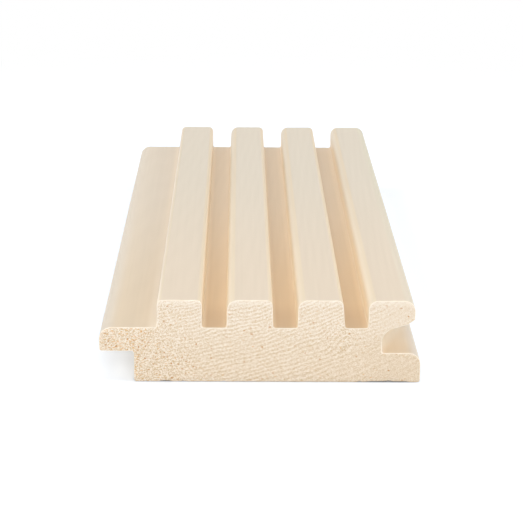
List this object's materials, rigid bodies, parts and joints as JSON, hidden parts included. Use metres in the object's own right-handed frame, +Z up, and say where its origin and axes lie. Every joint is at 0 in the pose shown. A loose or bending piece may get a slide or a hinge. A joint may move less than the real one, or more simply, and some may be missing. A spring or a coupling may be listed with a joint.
{
  "type": "tongue and groove board",
  "caption": "Solid timber wall board with square ribs along its face, a tongue on one edge and a groove on the other, so that boards lock side by side.",
  "frame": {"origin": "middle of the board's flat back, half way along it and half way between the tongue's tip and the lower lip's end", "axes": "+X across the board from the tongue to the groove, +Y along the grain, +Z up through the thickness, from the back to the ribs"},
  "size_m": [0.1046, 0.25, 0.028],
  "materials": {
    "timber": "planed, unfinished pale close-grained timber with sawn end grain"
  },
  "bodies": {
    "root": {"ribbed_board": "timber"}
  },
  "joints": []
}
